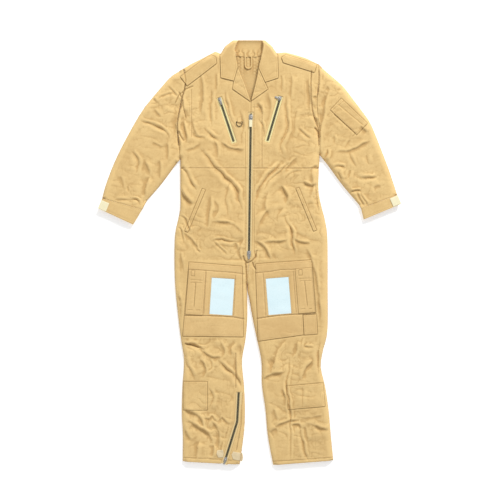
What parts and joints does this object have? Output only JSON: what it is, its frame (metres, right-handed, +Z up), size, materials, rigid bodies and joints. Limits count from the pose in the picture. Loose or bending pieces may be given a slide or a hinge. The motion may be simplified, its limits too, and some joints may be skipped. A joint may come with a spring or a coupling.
{
  "type": "work and flying coverall",
  "caption": "One-piece tan twill coverall with front zip, collar, epaulettes, zipped chest pockets and thigh pockets with clear map windows, laid flat on its back.",
  "frame": {"origin": "on the surface the garment lies on, under the middle of its outline", "axes": "+X across the garment to the wearer's left, +Y from the hems to the collar, +Z up from the surface, out of the front"},
  "size_m": [1.1372, 1.5948, 0.0261],
  "materials": {
    "tan_twill": "matt cotton twill with stitched seams",
    "zip_tape": "matt woven tape with a dark metal chain",
    "zip_chain": "blackened brass teeth on woven tape",
    "nickel": "satin nickel plate",
    "dark_metal": "dark bronze",
    "cream_webbing": "brushed loop fabric and webbing",
    "clear_window": "clear flexible film over a pale backing"
  },
  "bodies": {
    "garment": {"ankle_zip": "zip_chain", "bodice_back": "tan_twill", "bodice_front_left": "tan_twill", "bodice_front_right": "tan_twill", "chest_pocket_left": "tan_twill", "chest_pocket_right": "tan_twill", "chest_zip_left": "zip_chain", "chest_zip_right": "zip_chain", "collar": "tan_twill", "cuff_left": "tan_twill", "cuff_right": "tan_twill", "hand_pocket_left": "tan_twill", "hand_pocket_right": "tan_twill", "inseam_left": "tan_twill", "inseam_right": "tan_twill", "lapel_left": "tan_twill", "lapel_right": "tan_twill", "map_window_left": "clear_window", "map_window_right": "clear_window", "overarm_seam_left": "tan_twill", "overarm_seam_right": "tan_twill", "pen_pocket_left": "tan_twill", "pen_pocket_right": "tan_twill", "ring_tab": "tan_twill", "shin_pocket_left": "tan_twill", "shin_pocket_right": "tan_twill", "side_pocket_right": "tan_twill", "side_seam_left": "tan_twill", "side_seam_right": "tan_twill", "sleeve_back_left": "tan_twill", "sleeve_back_right": "tan_twill", "sleeve_front_left": "tan_twill", "sleeve_front_right": "tan_twill", "sleeve_pocket": "tan_twill", "thigh_pocket_left": "tan_twill", "thigh_pocket_right": "tan_twill", "trouser_back_left": "tan_twill", "trouser_back_right": "tan_twill", "trouser_front_left": "tan_twill", "trouser_front_right": "tan_twill", "underarm_seam_left": "tan_twill", "underarm_seam_right": "tan_twill", "zip_tape_left": "zip_tape", "zip_tape_right": "zip_tape"},
    "zip_slider_upper": {"zip_slider_upper": "nickel"},
    "zip_pull_upper": {"zip_pull_upper": "cream_webbing"},
    "zip_slider_lower": {"zip_slider_lower": "nickel"},
    "zip_pull_lower": {"zip_pull_lower": "nickel"},
    "chest_slider_left": {"chest_slider_left": "nickel"},
    "chest_pull_left": {"chest_pull_left": "nickel"},
    "chest_slider_right": {"chest_slider_right": "nickel"},
    "chest_pull_right": {"chest_pull_right": "nickel"},
    "ankle_slider": {"ankle_slider": "nickel"},
    "ankle_pull": {"ankle_pull": "nickel"},
    "chest_ring": {"chest_ring": "dark_metal"},
    "epaulette_left": {"epaulette_left": "tan_twill"},
    "epaulette_right": {"epaulette_right": "tan_twill"},
    "cuff_tab_left": {"cuff_tab_left": "cream_webbing"},
    "cuff_tab_right": {"cuff_tab_right": "cream_webbing"},
    "hanger_loop": {"hanger_loop": "tan_twill"}
  },
  "joints": [
    {"name": "zip_slider_upper_travel", "type": "slide", "parent": "garment", "child": "zip_slider_upper", "axis": [-0.0133, -0.9999, 0], "range_m": [0, 0.3]},
    {"name": "zip_pull_upper_swing", "type": "hinge", "parent": "zip_slider_upper", "child": "zip_pull_upper", "pos_m": [0.00457, 0.50544, 0.0224], "axis": [-0.9999, 0.0133, 0], "range_deg": [0, 150]},
    {"name": "zip_slider_lower_travel", "type": "slide", "parent": "garment", "child": "zip_slider_lower", "axis": [0.0133, 0.9999, 0], "range_m": [0, 0.15]},
    {"name": "zip_pull_lower_swing", "type": "hinge", "parent": "zip_slider_lower", "child": "zip_pull_lower", "pos_m": [-0.00223, -0.00456, 0.0224], "axis": [-0.9999, 0.0133, 0], "range_deg": [0, 150]},
    {"name": "chest_slider_left_travel", "type": "slide", "parent": "garment", "child": "chest_slider_left", "axis": [0.3173, -0.9483, 0], "range_m": [0, 0.15]},
    {"name": "chest_pull_left_swing", "type": "hinge", "parent": "chest_slider_left", "child": "chest_pull_left", "pos_m": [-0.11138, 0.57334, 0.0224], "axis": [-0.9483, -0.3173, 0], "range_deg": [0, 150]},
    {"name": "chest_slider_right_travel", "type": "slide", "parent": "garment", "child": "chest_slider_right", "axis": [-0.284, -0.9588, 0], "range_m": [0, 0.15]},
    {"name": "chest_pull_right_swing", "type": "hinge", "parent": "chest_slider_right", "child": "chest_pull_right", "pos_m": [0.11345, 0.57819, 0.0224], "axis": [0.284, 0.9588, 0], "range_deg": [0, 150]},
    {"name": "ankle_slider_travel", "type": "slide", "parent": "garment", "child": "ankle_slider", "axis": [0.2974, 0.9548, 0], "range_m": [0, 0.12]},
    {"name": "ankle_pull_swing", "type": "hinge", "parent": "ankle_slider", "child": "ankle_pull", "pos_m": [-0.09078, -0.77532, 0.0224], "axis": [-0.9548, 0.2974, 0], "range_deg": [0, 150]},
    {"name": "chest_ring_swing", "type": "hinge", "parent": "garment", "child": "chest_ring", "pos_m": [-0.03854, 0.49044, 0.02321], "axis": [-1, 0, 0], "range_deg": [0, 150]},
    {"name": "epaulette_left_swing", "type": "hinge", "parent": "garment", "child": "epaulette_left", "pos_m": [-0.24654, 0.64244, 0.0213], "axis": [0.6088, -0.7934, 0], "range_deg": [0, 150]},
    {"name": "epaulette_right_swing", "type": "hinge", "parent": "garment", "child": "epaulette_right", "pos_m": [0.24746, 0.69144, 0.0213], "axis": [0.2974, 0.9548, 0], "range_deg": [0, 150]},
    {"name": "cuff_tab_left_swing", "type": "hinge", "parent": "garment", "child": "cuff_tab_left", "pos_m": [-0.53254, 0.16944, 0.02105], "axis": [0.3827, 0.9239, 0], "range_deg": [0, 165]},
    {"name": "cuff_tab_right_swing", "type": "hinge", "parent": "garment", "child": "cuff_tab_right", "pos_m": [0.53246, 0.18694, 0.02105], "axis": [0.4067, -0.9135, 0], "range_deg": [0, 165]},
    {"name": "hanger_loop_swing", "type": "hinge", "parent": "garment", "child": "hanger_loop", "pos_m": [-0.00454, 0.74644, 0.0052], "axis": [-1, 0, 0], "range_deg": [0, 90]}
  ]
}
